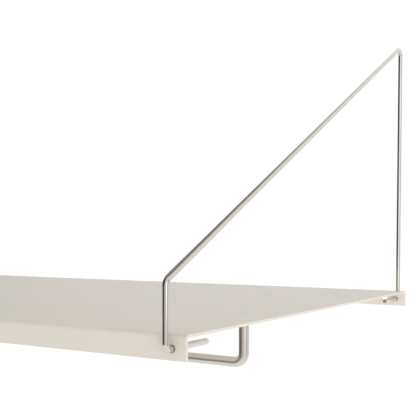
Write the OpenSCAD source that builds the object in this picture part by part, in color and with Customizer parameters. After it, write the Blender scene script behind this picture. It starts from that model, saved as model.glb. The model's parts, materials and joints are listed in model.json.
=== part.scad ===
// Wall shelf: one folded steel sheet carried by a bent wire bracket near each end,
// with a U-shaped hang bar screwed up under it.
//
// Frame: X runs along the wall, +Y points into the wall, +Z is up. The origin is midway between
// the two wall-screw holes, on the outer face of the back lip, at the height of the holes' axes.

/* [Shelf panel] */
// Width of the panel along the wall
shelf_w = 600; // [400:1:900]
// Depth of the panel, from the front lip's face to the back lip's face
shelf_d = 300; // [220:1:400]
// Thickness of the sheet
sheet_t = 1.5; // [1.3:0.1:2.5]
// Height of both folded lips, measured from the top surface
lip_h = 11.2; // [10:0.1:18]
// Inside radius of the two folds
fold_r = 0.6; // [0.3:0.1:1]
// Height of the hole axes in the lips, measured down from the top surface
hole_drop = 6.2; // [5:0.1:8]
// Diameter of the two wall-screw holes in the back lip
wall_hole_d = 4; // [3:0.1:4.5]
// Distance from each end of the panel to the nearer wall-screw hole
wall_hole_inset = 15.5; // [13:0.5:40]

/* [Wire brackets] */
// Diameter of the wire
wire_d = 3; // [2:0.1:4]
// Distance from each end of the panel to the wire's centreline
wire_inset = 7.2; // [5:0.1:9]
// Gap between the lips and the upright legs that stand outside them
leg_gap = 2.5; // [2:0.1:6]
// Centreline radius of the bends between the upright legs and the stubs
hook_r = 3; // [2.5:0.1:3.5]
// Height above the panel at which the front leg would meet the sloping run
front_rise = 22.2; // [15:0.1:60]
// Height above the panel at which the rear leg would meet the sloping run
apex_rise = 182.8; // [120:0.1:260]
// Length of each stub, from the outer face of its lip to its tip
stub_l = 27; // [12:0.5:60]
// Centreline radius of the bend at the top of the front leg
knee_r = 4.5; // [3:0.1:8]
// Centreline radius of the bend at the top of the rear leg
apex_r = 4.3; // [2.5:0.1:8]
// Radial clearance between a stub and the hole that it turns in
pivot_clearance = 0.1; // [0.02:0.01:0.1]
// Chamfer at both ends of the wire
wire_chamfer = 0.3; // [0.1:0.05:0.5]

/* [Hang bar] */
// Diameter of the bar
bar_d = 5.5; // [5:0.1:8]
// Distance from each end of the panel to the nearer leg's centreline
bar_inset = 25; // [15:0.5:80]
// Distance from the front lip's face to the bar's centreline
bar_setback = 94; // [50:1:180]
// Depth of the bar's centreline below the panel's top surface
bar_drop = 27; // [22:0.5:60]
// Centreline radius of the bar's two bends
bar_bend_r = 5.5; // [4.5:0.1:10]

/* [Hang bar screws] */
// Thread diameter of the screws
screw_d = 3; // [2.5:0.1:3.5]
// Diameter of the countersunk heads
screw_head_d = 5.4; // [4.6:0.1:5.4]
// Length of the screws under the top surface of the panel
screw_l = 10; // [6:0.5:12]
// Radial clearance round the shank, in the panel and in the legs
screw_clearance = 0.05; // [0.02:0.01:0.15]
// Width across the flats of the hexagon socket
socket_af = 2; // [1.5:0.1:2]
// Depth of the hexagon socket
socket_depth = 1.1; // [0.6:0.1:1.4]
// Extra depth of the threaded hole past the screw's tip
thread_runout = 1.5; // [0.5:0.5:3]

/* [Hidden] */
$fn = 48;

// Distance that a cutter runs past the faces it opens
cut_over = 1;
// Length and wall of the sleeve that joins a straight run of rod to a bend
sleeve_l = 0.3;
sleeve_wall = 0.01;

// Heights and depths of the panel's faces
top_z = hole_drop;
under_z = top_z - sheet_t;
lip_bottom_z = top_z - lip_h;
back_y = 0;
front_y = back_y - shelf_d;
end_x = shelf_w / 2;
fold_outer_r = fold_r + sheet_t;

// Wire bracket, measured in its own upright plane
wire_r = wire_d / 2;
leg_offset = leg_gap + wire_r;
pivot_hole_r = wire_r + pivot_clearance;
bracket_x = end_x - wire_inset;
front_leg_y = front_y - leg_offset;
rear_leg_y = back_y + leg_offset;

// Hang bar, measured in its own upright plane
bar_r = bar_d / 2;
bar_leg_x = end_x - bar_inset;
bar_y = front_y + bar_setback;
bar_z = top_z - bar_drop;

// Countersunk screw: a 90 degree cone, so the head is as deep as it is wider than the shank
shank_r = screw_d / 2;
head_r = screw_head_d / 2;
head_h = head_r - shank_r;
socket_r = socket_af / sqrt(3);
shank_hole_r = shank_r + screw_clearance;
tip_z = top_z - screw_l;
tip_chamfer = 0.4;

steel_wire = [0.80, 0.79, 0.77];
steel_bar = [0.66, 0.64, 0.60];
powder_coat = [0.86, 0.84, 0.79];

// Turn of a bent rod at corner i of its path, in degrees
function corner_turn(path, i) =
    let (a = path[i] - path[i - 1], b = path[i + 1] - path[i])
    acos(max(-1, min(1, a * b / (norm(a) * norm(b)))));

// Length of straight rod that the bend at corner i takes up on each side of it
function bend_reach(path, radii, i) =
    (i == 0 || i == len(path) - 1) ? 0 : radii[i] * tan(corner_turn(path, i) / 2);

// Length that is left straight between corners i and i + 1
function straight_length(path, radii, i) =
    norm(path[i + 1] - path[i]) - bend_reach(path, radii, i) - bend_reach(path, radii, i + 1);

// A straight piece of round rod along +X, and a chamfered tip that carries it on
module straight_rod(r, length) {
    rotate([0, 90, 0])
        cylinder(r = r, h = length);
}

module rod_tip(r, chamfer) {
    rotate([0, 90, 0])
        cylinder(r1 = r, r2 = r - chamfer, h = chamfer);
}

// A short sleeve, a hair thicker than the rod, round the place where a run meets a bend. It
// makes the two overlap, so that they join into one solid instead of only touching.
module joint_sleeve(r) {
    translate([-sleeve_l / 2, 0, 0])
        straight_rod(r + sleeve_wall, sleeve_l);
}

// The rest of a bent rod from run i on, drawn from the origin along +X. Each piece is placed
// at the end of the one before it, and every bend turns to the left.
module rod_from(path, radii, r, chamfer, i) {
    run = straight_length(path, radii, i);
    straight_rod(r, run);
    if (i > 0)
        joint_sleeve(r);
    if (i < len(path) - 2) {
        turn = corner_turn(path, i + 1);
        bend_r = radii[i + 1];
        translate([run, bend_r, 0]) {
            rotate([0, 0, -90])
                rotate_extrude(angle = turn)
                    translate([bend_r, 0])
                        circle(r = r);
            rotate([0, 0, turn])
                translate([0, -bend_r, 0])
                    rod_from(path, radii, r, chamfer, i + 1);
        }
    } else if (chamfer > 0) {
        translate([run, 0, 0])
            rod_tip(r, chamfer);
    }
}

// A round rod bent in a plane along a path of corners that all turn to the left
module bent_rod(path, radii, r, chamfer = 0) {
    first = path[1] - path[0];
    translate([path[0].x, path[0].y, 0])
        rotate([0, 0, atan2(first.y, first.x)]) {
            rod_from(path, radii, r, chamfer, 0);
            if (chamfer > 0)
                mirror([1, 0, 0])
                    rod_tip(r, chamfer);
        }
}

// Half of the panel's folded section: the back lip, its fold and the web as far as the middle
module half_section() {
    fold_centre = [back_y - fold_outer_r, top_z - fold_outer_r];
    translate([back_y - shelf_d / 2, under_z])
        square([shelf_d / 2 - fold_outer_r, sheet_t]);
    translate([back_y - sheet_t, lip_bottom_z])
        square([sheet_t, lip_h - fold_outer_r]);
    translate(fold_centre)
        intersection() {
            difference() {
                circle(r = fold_outer_r);
                circle(r = fold_r);
            }
            square(fold_outer_r);
        }
}

module panel_section() {
    half_section();
    translate([2 * back_y - shelf_d, 0])
        mirror([1, 0])
            half_section();
}

// A hole along Y through the lip whose outer face is at y, with the lip's metal on the side given
module lip_hole(x, y, r, inward) {
    translate([x, y - inward * cut_over, 0])
        rotate([-90 * inward, 0, 0])
            cylinder(r = r, h = sheet_t + 2 * cut_over);
}

// The seat of one hang bar screw: a countersink over a clearance hole that runs up into it
module screw_seat(x) {
    seat_z = top_z - head_h;
    translate([x, bar_y, seat_z])
        cylinder(r1 = shank_r, r2 = head_r, h = head_h);
    translate([x, bar_y, under_z - cut_over])
        cylinder(r = shank_hole_r, h = seat_z + screw_clearance - under_z + cut_over);
}

module shelf_panel() {
    color(powder_coat)
        difference() {
            rotate([90, 0, 90])
                linear_extrude(height = shelf_w, center = true)
                    panel_section();
            for (side = [-1, 1]) {
                lip_hole(side * bracket_x, front_y, pivot_hole_r, 1);
                lip_hole(side * bracket_x, back_y, pivot_hole_r, -1);
                lip_hole(side * (end_x - wall_hole_inset), back_y, wall_hole_d / 2, -1);
                screw_seat(side * bar_leg_x);
            }
        }
}

// One bracket, all one wire: rear stub, rear leg, sloping run, front leg and front stub
module bracket(side) {
    path = [
        [back_y - stub_l + wire_chamfer, 0],
        [rear_leg_y, 0],
        [rear_leg_y, top_z + apex_rise],
        [front_leg_y, top_z + front_rise],
        [front_leg_y, 0],
        [front_y + stub_l - wire_chamfer, 0]
    ];
    radii = [0, hook_r, apex_r, knee_r, hook_r, 0];
    color(steel_wire)
        translate([side * bracket_x, 0, 0])
            rotate([90, 0, 90])
                bent_rod(path, radii, wire_r, wire_chamfer);
}

module bracket_left() {
    bracket(-1);
}

module bracket_right() {
    bracket(1);
}

// The bar: a leg at each end that butts up under the panel, drilled and threaded for its screw
module hang_bar() {
    hole_depth = screw_l - sheet_t + thread_runout;
    path = [
        [-bar_leg_x, under_z],
        [-bar_leg_x, bar_z],
        [bar_leg_x, bar_z],
        [bar_leg_x, under_z]
    ];
    color(steel_bar)
        translate([0, bar_y, 0])
            difference() {
                rotate([90, 0, 0])
                    bent_rod(path, [0, bar_bend_r, bar_bend_r, 0], bar_r);
                for (side = [-1, 1])
                    translate([side * bar_leg_x, 0, under_z - hole_depth])
                        cylinder(r = shank_hole_r, h = hole_depth + cut_over);
            }
}

// A countersunk screw with a hexagon socket, its head flush with the top surface
module hang_bar_screw(side) {
    color(powder_coat)
        translate([side * bar_leg_x, bar_y, 0])
            difference() {
                union() {
                    translate([0, 0, top_z - head_h])
                        cylinder(r1 = shank_r, r2 = head_r, h = head_h);
                    translate([0, 0, tip_z + tip_chamfer])
                        cylinder(r = shank_r, h = screw_l - head_h - tip_chamfer);
                    translate([0, 0, tip_z])
                        cylinder(r1 = shank_r - tip_chamfer, r2 = shank_r, h = tip_chamfer);
                }
                translate([0, 0, top_z - socket_depth])
                    cylinder(r = socket_r, h = socket_depth + cut_over, $fn = 6);
            }
}

module hang_bar_screw_left() {
    hang_bar_screw(-1);
}

module hang_bar_screw_right() {
    hang_bar_screw(1);
}

shelf_panel();
bracket_left();
bracket_right();
hang_bar();
hang_bar_screw_left();
hang_bar_screw_right();
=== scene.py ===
"""Wall shelf: a folded steel panel, two bent wire brackets and a hang bar, in a pale studio.

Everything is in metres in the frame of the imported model: X along the wall, +Y into it, +Z up.
"""

import json
import math

import bmesh
import bpy
from mathutils import Matrix, Vector


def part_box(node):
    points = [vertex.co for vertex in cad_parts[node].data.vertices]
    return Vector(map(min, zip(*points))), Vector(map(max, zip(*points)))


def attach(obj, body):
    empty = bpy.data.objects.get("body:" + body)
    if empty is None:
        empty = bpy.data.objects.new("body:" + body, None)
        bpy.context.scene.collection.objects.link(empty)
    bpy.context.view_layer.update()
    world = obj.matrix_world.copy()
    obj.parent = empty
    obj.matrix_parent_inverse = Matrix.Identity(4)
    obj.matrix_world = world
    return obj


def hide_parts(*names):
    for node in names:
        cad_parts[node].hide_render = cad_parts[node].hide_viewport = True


MM = 0.001

# ---------------------------------------------------------------- the fixed frame

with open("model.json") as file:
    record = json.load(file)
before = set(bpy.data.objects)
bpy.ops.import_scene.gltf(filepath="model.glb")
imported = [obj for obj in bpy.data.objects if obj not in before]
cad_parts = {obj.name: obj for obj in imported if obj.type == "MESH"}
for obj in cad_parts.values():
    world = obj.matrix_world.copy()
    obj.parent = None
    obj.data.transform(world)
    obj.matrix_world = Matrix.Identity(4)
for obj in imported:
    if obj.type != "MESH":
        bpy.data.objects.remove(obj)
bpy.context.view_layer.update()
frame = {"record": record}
bodies = frame["record"]["behaviour"]["bodies"]

# ---------------------------------------------------------------- sizes that no box gives

SHEET = 1.5 * MM            # thickness of the panel's sheet
FOLD_INSIDE = 0.6 * MM      # inside radius of its two folds
SHEET_EDGE = 0.24 * MM      # rounding of the sheet's cut edges under the coating
END_EDGE = 0.22 * MM        # the same at the panel's two ends
HOLE_EDGE = 0.4 * MM        # rounding of the holes' rims under the coating
PIVOT_GAP = 0.1 * MM        # radial room of a wire's stub in its hole
WALL_HOLE = 2.0 * MM        # radius of the wall screws' holes
WALL_HOLE_INSET = 15.5 * MM # from the panel's ends to the wall screws' holes
STUB = 27.0 * MM            # stub, from the lip's outer face to its tip
KNEE_RISE = 22.2 * MM       # corner over the front leg, above the panel
APEX_RISE = 182.8 * MM      # corner over the rear leg, above the panel
HOOK_BEND = 3.0 * MM        # centreline radius of the bends between legs and stubs
KNEE_BEND = 4.5 * MM        # centreline radius of the bend at the top of the front leg
APEX_BEND = 4.3 * MM        # centreline radius of the bend at the top of the rear leg
BAR_BEND = 5.5 * MM         # centreline radius of the hang bar's bends
WIRE_TIP = 0.3 * MM         # rounding of the wire's tips
BAR_TIP = 0.25 * MM         # rounding of the bar's ends, against the panel
SHANK = 1.5 * MM            # radius of the hang bar screws
SEAT_GAP = 0.02 * MM        # hairline round a screw's head
SOCKET_FLATS = 2.0 * MM     # hexagon socket, across its flats
SOCKET_DEPTH = 1.1 * MM
SOCKET_EDGE = 0.08 * MM     # chamfer round the socket's mouth
HEAD_EDGE = 0.05 * MM       # rounding of the screw head's rim
TIP_CHAMFER = 0.4 * MM      # chamfer of a screw's tip
PAST = 0.05 * MM            # distance that a cutter runs past the faces it opens
RING = 48                   # corners round a wire, a bar or a screw
HOLE_RING = 96              # corners round a hole
EDGE_STEPS = 5              # faces across a rounded edge or tip
FOLD_STEPS = 16             # faces round the outside of a fold
INSIDE_STEPS = 10           # faces round its inside

panel_lo, panel_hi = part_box("shelf_panel")
top_z = panel_hi.z
under_z = top_z - SHEET


# ---------------------------------------------------------------- node materials

COAT = (0.63, 0.594, 0.528)
COAT_DARK = (0.624, 0.588, 0.522)
COAT_LIGHT = (0.636, 0.600, 0.534)
WIRE = (0.665, 0.64, 0.595)
WIRE_DARK = (0.635, 0.61, 0.565)
WIRE_LIGHT = (0.695, 0.67, 0.625)
BAR = (0.64, 0.615, 0.57)
BAR_DARK = (0.615, 0.59, 0.545)
BAR_LIGHT = (0.665, 0.64, 0.595)
BARE_STEEL = (0.66, 0.65, 0.63)
FLOOR_PAINT = (0.08, 0.08, 0.08)
COAT_END = 0.60 * MM        # depth in a screw's socket at which the coating starts to wear off
BARE_START = 0.80 * MM      # depth at which the steel is bare
COAT_GRAIN = 2600.0         # scale of the coating's fine grain, per metre


def new_material(name, base, roughness, metallic=0.0, specular=0.5):
    """A material, with the values that are the same all over set on the shader itself."""
    material = bpy.data.materials.new(name)
    material.use_nodes = True
    shader = material.node_tree.nodes["Principled BSDF"]
    shader.inputs["Base Color"].default_value = (*base, 1.0)
    shader.inputs["Roughness"].default_value = roughness
    shader.inputs["Metallic"].default_value = metallic
    shader.inputs["Specular IOR Level"].default_value = specular
    return material, material.node_tree.nodes, material.node_tree.links, shader


def noise(nodes, links, vector, scale, detail=2.0, roughness=0.5):
    """Noise over the given coordinates."""
    node = nodes.new("ShaderNodeTexNoise")
    node.inputs["Scale"].default_value = scale
    node.inputs["Detail"].default_value = detail
    node.inputs["Roughness"].default_value = roughness
    links.new(vector, node.inputs["Vector"])
    return node.outputs["Fac"]


def remap(nodes, links, value, low, high, out_low, out_high):
    """Maps a value from one range to another, held at both ends."""
    node = nodes.new("ShaderNodeMapRange")
    node.inputs["From Min"].default_value = low
    node.inputs["From Max"].default_value = high
    node.inputs["To Min"].default_value = out_low
    node.inputs["To Max"].default_value = out_high
    links.new(value, node.inputs["Value"])
    return node.outputs["Result"]


def tint(nodes, links, value, dark, light):
    """Mixes two colours by a value from 0 to 1."""
    node = nodes.new("ShaderNodeMix")
    node.data_type = "RGBA"
    node.inputs["A"].default_value = (*dark, 1.0)
    node.inputs["B"].default_value = (*light, 1.0)
    links.new(value, node.inputs["Factor"])
    return node.outputs["Result"]


def bump(nodes, links, shader, heights):
    """Chains bumps, each given as a height output and its depth in metres, into the shader."""
    normal = None
    for height, depth in heights:
        node = nodes.new("ShaderNodeBump")
        node.inputs["Distance"].default_value = depth
        links.new(height, node.inputs["Height"])
        if normal is not None:
            links.new(normal, node.inputs["Normal"])
        normal = node.outputs["Normal"]
    links.new(normal, shader.inputs["Normal"])


def object_coordinates(nodes):
    """Places on the piece in metres, in its own frame."""
    return nodes.new("ShaderNodeTexCoord").outputs["Object"]


def rod_coordinates(nodes, links, around, along):
    """A rod's own coordinates: its turn, 0 to 1, times around, and its metres times along."""
    source = nodes.new("ShaderNodeTexCoord").outputs["UV"]
    mapping = nodes.new("ShaderNodeMapping")
    mapping.inputs["Scale"].default_value = (around, along, 1.0)
    links.new(source, mapping.inputs["Vector"])
    return mapping.outputs["Vector"]


def powder_coat():
    """Matt warm-white powder coat: a soft orange peel with a fine grain on it."""
    material, nodes, links, shader = new_material("powder_coat", COAT, 0.5)
    where = object_coordinates(nodes)
    cloud = noise(nodes, links, where, 14.0, 3.0)
    links.new(tint(nodes, links, remap(nodes, links, cloud, 0.3, 0.7, 0.0, 1.0),
                   COAT_DARK, COAT_LIGHT), shader.inputs["Base Color"])
    speck = noise(nodes, links, where, COAT_GRAIN, 1.0)
    links.new(remap(nodes, links, speck, 0.25, 0.75, 0.45, 0.55), shader.inputs["Roughness"])
    peel = noise(nodes, links, where, 620.0, 2.0)
    bump(nodes, links, shader, [(peel, 0.030 * MM), (speck, 0.006 * MM)])
    return material


def wire_steel():
    """Polished drawn stainless wire, with faint die lines that run along it."""
    material, nodes, links, shader = new_material("wire_steel", WIRE, 0.12, metallic=1.0)
    lines = noise(nodes, links, rod_coordinates(nodes, links, 26.0, 30.0), 1.0, 3.0, 0.6)
    links.new(tint(nodes, links, remap(nodes, links, lines, 0.3, 0.7, 0.0, 1.0),
                   WIRE_DARK, WIRE_LIGHT), shader.inputs["Base Color"])
    haze = noise(nodes, links, object_coordinates(nodes), 90.0, 3.0)
    links.new(remap(nodes, links, haze, 0.3, 0.7, 0.07, 0.11), shader.inputs["Roughness"])
    bump(nodes, links, shader, [(lines, 0.002 * MM)])
    return material


def bar_steel():
    """Satin stainless bar, ground round and round, so that its lines run across its length."""
    material, nodes, links, shader = new_material("bar_steel", BAR, 0.32, metallic=1.0)
    lines = noise(nodes, links, rod_coordinates(nodes, links, 3.0, 3200.0), 1.0, 4.0, 0.65)
    links.new(tint(nodes, links, remap(nodes, links, lines, 0.25, 0.75, 0.0, 1.0),
                   BAR_DARK, BAR_LIGHT), shader.inputs["Base Color"])
    patches = noise(nodes, links, object_coordinates(nodes), 160.0, 2.0)
    links.new(remap(nodes, links, patches, 0.3, 0.7, 0.29, 0.35), shader.inputs["Roughness"])
    bump(nodes, links, shader, [(lines, 0.003 * MM)])
    return material


def screw_coat():
    """The panel's coating on a screw's head, worn to bright steel down in its socket."""
    material, nodes, links, shader = new_material("screw_coat", COAT, 0.5)
    where = object_coordinates(nodes)
    axes = nodes.new("ShaderNodeSeparateXYZ")
    links.new(where, axes.inputs["Vector"])
    bare = remap(nodes, links, axes.outputs["Z"], top_z - BARE_START, top_z - COAT_END, 1.0, 0.0)
    links.new(bare, shader.inputs["Metallic"])
    links.new(tint(nodes, links, bare, COAT, BARE_STEEL), shader.inputs["Base Color"])
    links.new(remap(nodes, links, bare, 0.0, 1.0, 0.52, 0.28), shader.inputs["Roughness"])
    bump(nodes, links, shader, [(noise(nodes, links, where, COAT_GRAIN, 1.0), 0.006 * MM)])
    return material


def plain_floor():
    """A matt floor that glows an even white, with a trace of unevenness in its paint."""
    material, nodes, links, shader = new_material("floor_white", FLOOR_PAINT, 0.9, specular=0.0)
    shader.inputs["Emission Color"].default_value = (1.0, 1.0, 1.0, 1.0)
    shader.inputs["Emission Strength"].default_value = FLOOR_GLOW
    cloud = noise(nodes, links, object_coordinates(nodes), 1.5, 2.0)
    links.new(remap(nodes, links, cloud, 0.3, 0.7, 0.85, 0.95), shader.inputs["Roughness"])
    return material


# ---------------------------------------------------------------- mesh tools

def smooth(mesh, sharp_degrees=40.0):
    """Shades a mesh smooth, except where its faces meet at a sharper angle."""
    mesh.shade_smooth()
    mesh.set_sharp_from_angle(angle=math.radians(sharp_degrees))


def add_piece(name, shape, material, sharp_degrees=40.0):
    """Makes an object of a bmesh and puts it in the scene."""
    bmesh.ops.recalc_face_normals(shape, faces=shape.faces)
    mesh = bpy.data.meshes.new(name)
    shape.to_mesh(mesh)
    shape.free()
    if material is not None:
        mesh.materials.append(material)
    smooth(mesh, sharp_degrees)
    piece = bpy.data.objects.new(name, mesh)
    bpy.context.scene.collection.objects.link(piece)
    return piece


def weight_normals(piece):
    """Lets the large flat faces set the normals that they share with the small round ones."""
    modifier = piece.modifiers.new("weighted_normals", "WEIGHTED_NORMAL")
    modifier.keep_sharp = True
    modifier.weight = 100


def quarter(steps):
    """Angles of a quarter turn, in order."""
    return [math.pi / 2 * i / steps for i in range(steps + 1)]


def bent_path(corners, bend_radii, step_degrees=4.0):
    """(point, direction) pairs along straight runs joined by circular bends."""
    stations = [(corners[0], (corners[1] - corners[0]).normalized())]
    for before, corner, after, radius in zip(corners, corners[1:], corners[2:], bend_radii):
        into = (corner - before).normalized()
        out = (after - corner).normalized()
        turn = into.angle(out)
        side = (out - into * out.dot(into)).normalized()
        start = corner - into * radius * math.tan(turn / 2)
        steps = math.ceil(math.degrees(turn) / step_degrees)
        for i in range(steps + 1):
            a = turn * i / steps
            point = start + side * radius * (1 - math.cos(a)) + into * radius * math.sin(a)
            stations.append((point, into * math.cos(a) + side * math.sin(a)))
    stations.append((corners[-1], (corners[-1] - corners[-2]).normalized()))
    return stations


def rounded_tip(point, inward, along, radius, tip):
    """Rings (centre, direction, radius) of a rounded tip, from its flat end to full size."""
    return [(point + inward * tip * (1 - math.cos(a)), along, radius - tip * (1 - math.sin(a)))
            for a in quarter(EDGE_STEPS)]


def ring_points(centre, first, second, radius, count):
    """Points round a circle that runs from the first direction towards the second."""
    return [centre + radius * (first * math.cos(2 * math.pi * k / count)
                               + second * math.sin(2 * math.pi * k / count))
            for k in range(count)]


def skin(shape, loops):
    """Joins closed loops of vertices into a tube with capped ends, and returns its faces."""
    count = len(loops[0])
    faces = []
    for low, high in zip(loops, loops[1:]):
        for k in range(count):
            n = (k + 1) % count
            faces.append(shape.faces.new((low[k], low[n], high[n], high[k])))
    return faces + [shape.faces.new(loops[0]), shape.faces.new(loops[-1])]


def round_rod(name, corners, bend_radii, radius, tip, across, material):
    """A bent rod with rounded tips. across is the normal of the plane that it is bent in.

    Its UVs are its turn, 0 to 1, and its length in metres.
    """
    stations = bent_path(corners, bend_radii)
    (start, forth), (end, last) = stations[0], stations[-1]
    rings = rounded_tip(start, forth, forth, radius, tip)
    rings += [(point, along, radius) for point, along in stations[1:-1]]
    rings += reversed(rounded_tip(end, -last, last, radius, tip))
    shape = bmesh.new()
    loops = [[shape.verts.new(p) for p in ring_points(c, across, across.cross(along), r, RING)]
             for c, along, r in rings]
    faces = skin(shape, loops)
    uv = shape.loops.layers.uv.new("rod")
    length = 0.0
    for i, (low, high) in enumerate(zip(rings, rings[1:])):
        reach = (high[0] - low[0]).length
        for k in range(RING):
            places = ((k, 0.0), (k + 1, 0.0), (k + 1, reach), (k, reach))
            for loop, (turn, up) in zip(faces[i * RING + k].loops, places):
                loop[uv].uv = (turn / RING, length + up)
        length += reach
    piece = add_piece(name, shape, material)
    weight_normals(piece)
    return piece


def lathe(shape, profile, centre, axis, count):
    """Adds a closed turned solid. profile is (radius, height) pairs from the bottom up."""
    side = axis.orthogonal().normalized()
    skin(shape, [[shape.verts.new(p) for p in
                  ring_points(centre + axis * height, side, axis.cross(side), radius, count)]
                 for radius, height in profile])


def cut(piece, cutters):
    """Takes the cutters' solids out of a piece for good."""
    tool = add_piece(piece.name + "_cutters", cutters, None)
    modifier = piece.modifiers.new("holes", "BOOLEAN")
    modifier.operation = "DIFFERENCE"
    modifier.solver = "EXACT"
    modifier.object = tool
    graph = bpy.context.evaluated_depsgraph_get()
    whole = piece.data
    piece.data = bpy.data.meshes.new_from_object(piece.evaluated_get(graph))
    piece.modifiers.clear()
    bpy.data.meshes.remove(whole)
    bpy.data.objects.remove(tool)
    smooth(piece.data)


# ---------------------------------------------------------------- the folded panel

def arc(centre, radius, first, last, steps, hollow=False):
    """((y, z), normal) pairs along an arc of the section. A hollow one faces its centre."""
    points = []
    for i in range(steps + 1):
        a = math.radians(first + (last - first) * i / steps)
        out = (math.cos(a), math.sin(a))
        normal = (-out[0], -out[1]) if hollow else out
        points.append(((centre[0] + radius * out[0], centre[1] + radius * out[1]), normal))
    return points


def panel_outline():
    """The panel's section, from the front lip over the top to the back lip and back inside."""
    front, back, bottom = panel_lo.y, panel_hi.y, panel_lo.z
    outer = FOLD_INSIDE + SHEET
    front_fold = (front + outer, top_z - outer)
    back_fold = (back - outer, top_z - outer)
    e = SHEET_EDGE
    return (arc((front + SHEET - e, bottom + e), e, 0, -90, EDGE_STEPS)
            + arc((front + e, bottom + e), e, -90, -180, EDGE_STEPS)
            + arc(front_fold, outer, 180, 90, FOLD_STEPS)
            + arc(back_fold, outer, 90, 0, FOLD_STEPS)
            + arc((back - e, bottom + e), e, 0, -90, EDGE_STEPS)
            + arc((back - SHEET + e, bottom + e), e, -90, -180, EDGE_STEPS)
            + arc(back_fold, FOLD_INSIDE, 0, 90, INSIDE_STEPS, hollow=True)
            + arc(front_fold, FOLD_INSIDE, 90, 180, INSIDE_STEPS, hollow=True))


def panel_sheet(material):
    """The folded sheet, run along X, with its ends rounded as its other cut edges are."""
    rounding = [(END_EDGE * (1 - math.cos(a)), END_EDGE * (1 - math.sin(a)))
                for a in quarter(EDGE_STEPS)]
    rings = [(panel_lo.x + step, inset) for step, inset in rounding]
    rings += [(panel_hi.x - step, inset) for step, inset in reversed(rounding)]
    outline = panel_outline()
    shape = bmesh.new()
    skin(shape, [[shape.verts.new((x, p[0] - n[0] * inset, p[1] - n[1] * inset))
                  for p, n in outline] for x, inset in rings])
    return add_piece("shelf_panel_sheet", shape, material)


def flare(radius, face, inward):
    """(radius, height) pairs where a hole's wall rolls out into a face, from the wall out.

    The last pair is just past the face, on the same slope.
    """
    angles = [math.radians(a) for a in (0, 16, 32, 48, 64, 80)]
    pairs = [(radius + HOLE_EDGE * (1 - math.cos(a)),
              face + inward * HOLE_EDGE * (1 - math.sin(a))) for a in angles]
    pairs.append((pairs[-1][0] + PAST * math.tan(angles[-1]), pairs[-1][1] - inward * PAST))
    return pairs


def lip_hole(cutters, x, lip_y, radius):
    """A hole along Y through the lip that starts at lip_y, with both of its rims rounded."""
    profile = list(reversed(flare(radius, 0.0, 1))) + flare(radius, SHEET, -1)
    lathe(cutters, profile, Vector((x, lip_y, 0.0)), Vector((0, 1, 0)), HOLE_RING)


def screw_seat(cutters, x, y, head):
    """A countersink over a clearance hole, a hairline wider than the screw."""
    shank_hole = SHANK + SEAT_GAP
    profile = [(shank_hole, under_z - PAST), (shank_hole, top_z - head + SHANK),
               (head + SEAT_GAP + PAST, top_z + PAST)]
    lathe(cutters, profile, Vector((x, y, 0.0)), Vector((0, 0, 1)), HOLE_RING)


def shelf_panel(material):
    """The folded sheet with its bracket holes, wall-screw holes and screw seats cut."""
    piece = panel_sheet(material)
    cutters = bmesh.new()
    for side in ("left", "right"):
        low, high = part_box("bracket_" + side)
        pivot_x, wire = (low.x + high.x) / 2, (high.x - low.x) / 2
        for lip_y in (panel_lo.y, panel_hi.y - SHEET):
            lip_hole(cutters, pivot_x, lip_y, wire + PIVOT_GAP)
        outward = math.copysign(1.0, pivot_x)
        lip_hole(cutters, outward * (panel_hi.x - WALL_HOLE_INSET), panel_hi.y - SHEET, WALL_HOLE)
        low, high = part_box("hang_bar_screw_" + side)
        screw_seat(cutters, (low.x + high.x) / 2, (low.y + high.y) / 2, (high.x - low.x) / 2)
    cut(piece, cutters)
    weight_normals(piece)
    return piece


# ---------------------------------------------------------------- brackets, bar and screws

def bracket(side, material):
    """One wire: rear stub, rear leg, sloping run, front leg and front stub."""
    low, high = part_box("bracket_" + side)
    x, wire = (low.x + high.x) / 2, (high.x - low.x) / 2
    front, rear = low.y + wire, high.y - wire
    corners = [Vector((x, y, z)) for y, z in (
        (panel_hi.y - STUB, 0.0), (rear, 0.0), (rear, top_z + APEX_RISE),
        (front, top_z + KNEE_RISE), (front, 0.0), (panel_lo.y + STUB, 0.0))]
    bends = [HOOK_BEND, APEX_BEND, KNEE_BEND, HOOK_BEND]
    return round_rod("wire_bracket_" + side, corners, bends, wire, WIRE_TIP,
                     Vector((1, 0, 0)), material)


def hang_bar(material):
    """The U-shaped bar, whose two legs butt up under the panel."""
    low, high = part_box("hang_bar")
    y, radius = (low.y + high.y) / 2, (high.y - low.y) / 2
    leg, run = high.x - radius, low.z + radius
    corners = [Vector((x, y, z)) for x, z in (
        (-leg, under_z), (-leg, run), (leg, run), (leg, under_z))]
    return round_rod("hang_bar_rod", corners, [BAR_BEND, BAR_BEND], radius, BAR_TIP,
                     Vector((0, 1, 0)), material)


def hexagon_points(x, y, z, flats):
    """RING points round a hexagon, its corners among them."""
    points = []
    for k in range(RING):
        a = 2 * math.pi * k / RING
        radius = flats / 2 / math.cos(a % (math.pi / 3) - math.pi / 6)
        points.append(Vector((x + radius * math.cos(a), y + radius * math.sin(a), z)))
    return points


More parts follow.
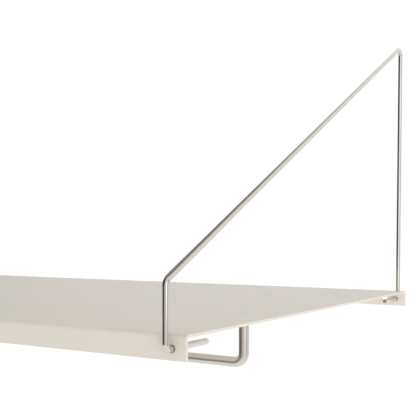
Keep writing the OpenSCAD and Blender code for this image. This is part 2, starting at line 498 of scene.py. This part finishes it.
def screw(side, material):
    """A countersunk screw, flush with the panel's top, with a hexagon socket."""
    low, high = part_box("hang_bar_screw_" + side)
    x, y, head = (low.x + high.x) / 2, (low.y + high.y) / 2, (high.x - low.x) / 2
    turned = [(SHANK - TIP_CHAMFER, low.z), (SHANK, low.z + TIP_CHAMFER),
              (SHANK, top_z - head + SHANK), (head - HEAD_EDGE, top_z - HEAD_EDGE),
              (head - 1.3 * HEAD_EDGE, top_z - 0.3 * HEAD_EDGE), (head - 2 * HEAD_EDGE, top_z)]
    across, back = Vector((1, 0, 0)), Vector((0, 1, 0))
    rings = [ring_points(Vector((x, y, z)), across, back, r, RING) for r, z in turned]
    rings += [hexagon_points(x, y, z, flats) for z, flats in (
        (top_z, SOCKET_FLATS + 2 * SOCKET_EDGE), (top_z - SOCKET_EDGE, SOCKET_FLATS),
        (top_z - SOCKET_DEPTH, SOCKET_FLATS))]
    shape = bmesh.new()
    skin(shape, [[shape.verts.new(p) for p in ring] for ring in rings])
    piece = add_piece("hang_bar_screw_head_" + side, shape, material, sharp_degrees=30.0)
    weight_normals(piece)
    return piece


def place(piece, node):
    """The piece stands for a CAD node, hides it and moves with its body."""
    body = next(name for name, members in bodies.items() if node in members)
    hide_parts(node)
    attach(piece, body)


coat, wire, satin, screw_finish = powder_coat(), wire_steel(), bar_steel(), screw_coat()
place(shelf_panel(coat), "shelf_panel")
place(hang_bar(satin), "hang_bar")
for side in ("left", "right"):
    place(bracket(side, wire), "bracket_" + side)
    place(screw(side, screw_finish), "hang_bar_screw_" + side)


# ---------------------------------------------------------------- floor, light and camera

FLOOR_Z = -1.3              # far enough down to take no shadow
FLOOR_REACH = 40.0
FLOOR_GLOW = 0.95           # the floor's own light, so that it reads as plain white
ROOM_LEVEL = 1.01           # light of the room, just enough to read as plain white

# The screens that the metal mirrors. Azimuths are in degrees from +X towards +Y, and levels
# are shares of plain white.
STUDIO = 2.2                # radius of the ring of walls
SCREEN_FACES = 120          # faces along a round screen
SHADE_WARMTH = (1.0, 1.07, 1.11)    # powers of red, green and blue: a dim screen is a warm one
WALLS_Z = (-1.25, 1.1)
WALL_LEVELS = [(0, 0.55), (4, 0.55), (14, 1.0), (138, 1.0), (150, 0.05), (240, 0.05),
               (254, 0.25), (272, 0.6), (300, 0.85), (334, 0.85), (342, 0.55), (360, 0.55)]
WALL_SHOWN = [(0.0, 0.0), (0.25, 1.0), (1.0, 1.0)]
WINDOW_RADIUS = 0.97 * STUDIO
WINDOW_TURN = (312.0, 334.0)
WINDOW_Z = (-0.22, 0.9)
WINDOW_LEVEL = 2.0
WINDOW_SHOWN = [(0.0, 0.0), (0.1, 1.0), (1.0, 1.0)]

# The ceiling is laid out along a line turned by CEILING_TURN (left to right) and across that
# line (start to end). It fades out between CEILING_FADE and CEILING_END.
CEILING_Z = 0.6
CEILING_TURN = -30.0
CEILING_LEFT = -1.2
CEILING_RIGHT = 0.7
CEILING_START = -2.2
CEILING_FADE = 0.13
CEILING_END = 0.50
CEILING_LEVELS = [(CEILING_START, 0.05), (-0.85, 0.05), (-0.5, 0.30), (CEILING_END, 0.30)]

WARM = (1.0, 0.97, 0.92)    # tint of the two softboxes
KEY_AZIMUTH = 326.0
KEY_RISE = -14.0
KEY_DISTANCE = 1.6
KEY_SIZE = 0.7
KEY_POWER = 5.1
FILL_OFFSET = Vector((0.08, -0.18, -0.22))  # from the panel's right back corner
FILL_SIZE = 0.2
FILL_POWER = 0.3

CAMERA_PLACE = Vector((0.463976, -0.54927, 0.045256))
CAMERA_YAW = 31.121         # degrees to the left of +Y
CAMERA_PITCH = 1.99         # degrees down
CAMERA_ROLL = 0.142
CAMERA_SENSOR = 36.0
CAMERA_LENS = 63.985
CAMERA_SHIFT = (-0.01656, 0.13511)
CAMERA_CLIP = (0.01, 100.0)


def add_floor():
    """A floor far below the shelf, wide enough to fill the view."""
    shape = bmesh.new()
    shape.faces.new([shape.verts.new((x * FLOOR_REACH, y * FLOOR_REACH, FLOOR_Z))
                     for x, y in ((-1, -1), (1, -1), (1, 1), (-1, 1))])
    add_piece("floor", shape, plain_floor())


def light_material(name, levels, shown):
    """Light whose level follows one texture coordinate and whose cover follows the other.

    levels and shown are (place, value) stops. The places run from 0 to 1 along the first and
    the second coordinate of the piece's UVs. A level under 1 is warmed.
    """
    material = bpy.data.materials.new(name)
    material.use_nodes = True
    nodes, links = material.node_tree.nodes, material.node_tree.links
    nodes.clear()
    axes = nodes.new("ShaderNodeSeparateXYZ")
    links.new(nodes.new("ShaderNodeTexCoord").outputs["UV"], axes.inputs["Vector"])
    ramps = []
    for axis, stops in (("X", levels), ("Y", shown)):
        node = nodes.new("ShaderNodeValToRGB")
        elements = node.color_ramp.elements
        elements[0].position, elements[1].position = stops[0][0], stops[-1][0]
        for stop, _ in stops[1:-1]:
            elements.new(stop)
        for element, (_, value) in zip(elements, stops):
            element.color = (*(min(value, value ** warmth) for warmth in SHADE_WARMTH), 1.0)
        links.new(axes.outputs[axis], node.inputs["Fac"])
        ramps.append(node.outputs["Color"])
    light = nodes.new("ShaderNodeEmission")
    links.new(ramps[0], light.inputs["Color"])
    clear = nodes.new("ShaderNodeBsdfTransparent")
    mix = nodes.new("ShaderNodeMixShader")
    links.new(ramps[1], mix.inputs["Fac"])
    links.new(clear.outputs["BSDF"], mix.inputs[1])
    links.new(light.outputs["Emission"], mix.inputs[2])
    out = nodes.new("ShaderNodeOutputMaterial")
    links.new(mix.outputs["Shader"], out.inputs["Surface"])
    return material


def screen(name, shape, material):
    """A screen of the studio, which is seen only in the metal and the gloss of the shelf."""
    material.cycles.emission_sampling = "NONE"
    piece = add_piece(name, shape, material)
    piece.visible_camera = False
    piece.visible_diffuse = False
    piece.visible_shadow = False


def round_screen(name, radius, turn, height, levels, shown):
    """A screen along part of a circle round the shelf, between two azimuths in degrees."""
    shape = bmesh.new()
    uv = shape.loops.layers.uv.new("screen")
    rows = [[], []]
    for k in range(SCREEN_FACES + 1):
        a = math.radians(turn[0] + (turn[1] - turn[0]) * k / SCREEN_FACES)
        for row, z in zip(rows, height):
            row.append(shape.verts.new((radius * math.cos(a), radius * math.sin(a), z)))
    for k in range(SCREEN_FACES):
        face = shape.faces.new((rows[0][k], rows[0][k + 1], rows[1][k + 1], rows[1][k]))
        for loop, (step, up) in zip(face.loops, ((k, 0), (k + 1, 0), (k + 1, 1), (k, 1))):
            loop[uv].uv = (step / SCREEN_FACES, up)
    screen(name, shape, light_material(name, levels, shown))


def add_ceiling():
    """A dim ceiling over the front and left of the studio, which fades out towards the wall."""
    shape = bmesh.new()
    uv = shape.loops.layers.uv.new("ceiling")
    a = math.radians(CEILING_TURN)
    along, across = Vector((math.cos(a), math.sin(a), 0)), Vector((-math.sin(a), math.cos(a), 0))
    corners = ((CEILING_LEFT, CEILING_START), (CEILING_RIGHT, CEILING_START),
               (CEILING_RIGHT, CEILING_END), (CEILING_LEFT, CEILING_END))
    face = shape.faces.new([shape.verts.new(along * u + across * v + Vector((0, 0, CEILING_Z)))
                            for u, v in corners])
    depth = CEILING_END - CEILING_START
    for loop, (_, v) in zip(face.loops, corners):
        loop[uv].uv = ((v - CEILING_START) / depth, (v - CEILING_START) / depth)
    levels = [((v - CEILING_START) / depth, level) for v, level in CEILING_LEVELS]
    shown = [(0.0, 1.0), ((CEILING_FADE - CEILING_START) / depth, 1.0), (1.0, 0.0)]
    screen("studio_ceiling", shape, light_material("ceiling", levels, shown))


def add_world():
    """An even white room round it all."""
    world = bpy.data.worlds.new("studio")
    world.use_nodes = True
    back = world.node_tree.nodes["Background"]
    back.inputs["Color"].default_value = (1.0, 1.0, 1.0, 1.0)
    back.inputs["Strength"].default_value = ROOM_LEVEL
    bpy.context.scene.world = world


def add_softbox(name, place_at, target, size, power, colour):
    """A square light aimed at a point. It shades the shelf, but the metal does not mirror it."""
    data = bpy.data.lights.new(name, "AREA")
    data.size = size
    data.energy = power
    data.color = colour
    light = bpy.data.objects.new(name, data)
    light.location = place_at
    light.rotation_euler = (place_at - target).to_track_quat("Z", "Y").to_euler()
    bpy.context.scene.collection.objects.link(light)
    light.visible_camera = False
    light.visible_glossy = False


def add_lights():
    """A key low in front, to the right, and a small fill under the panel for the back lip."""
    middle = (panel_lo + panel_hi) / 2
    turn, rise = math.radians(KEY_AZIMUTH), math.radians(KEY_RISE)
    away = Vector((math.cos(rise) * math.cos(turn), math.cos(rise) * math.sin(turn),
                   math.sin(rise)))
    add_softbox("key", middle + away * KEY_DISTANCE, middle, KEY_SIZE, KEY_POWER, WARM)
    back_corner = Vector((panel_hi.x, panel_hi.y, 0.0))
    add_softbox("fill", back_corner + FILL_OFFSET, back_corner, FILL_SIZE, FILL_POWER, WARM)


def add_camera():
    """The photograph's camera, turned from +Y by its yaw, pitch and roll."""
    yaw, pitch, roll = (math.radians(a) for a in (CAMERA_YAW, CAMERA_PITCH, CAMERA_ROLL))
    forward = Vector((-math.sin(yaw) * math.cos(pitch), math.cos(yaw) * math.cos(pitch),
                      -math.sin(pitch)))
    level = Vector((math.cos(yaw), math.sin(yaw), 0.0))
    above = level.cross(forward)
    right = level * math.cos(roll) + above * math.sin(roll)
    up = above * math.cos(roll) - level * math.sin(roll)
    data = bpy.data.cameras.new("camera")
    data.sensor_width = CAMERA_SENSOR
    data.lens = CAMERA_LENS
    data.shift_x, data.shift_y = CAMERA_SHIFT
    data.clip_start, data.clip_end = CAMERA_CLIP
    camera = bpy.data.objects.new("camera", data)
    turned = Matrix((right, up, -forward)).transposed().to_4x4()
    camera.matrix_world = Matrix.Translation(CAMERA_PLACE) @ turned
    bpy.context.scene.collection.objects.link(camera)
    bpy.context.scene.camera = camera


add_floor()
round_screen("studio_walls", STUDIO, (0.0, 360.0), WALLS_Z,
             [(azimuth / 360, level) for azimuth, level in WALL_LEVELS], WALL_SHOWN)
round_screen("studio_window", WINDOW_RADIUS, WINDOW_TURN, WINDOW_Z,
             [(0.0, WINDOW_LEVEL), (1.0, WINDOW_LEVEL)], WINDOW_SHOWN)
add_ceiling()
add_world()
add_lights()
add_camera()
bpy.context.scene.view_settings.view_transform = "Standard"
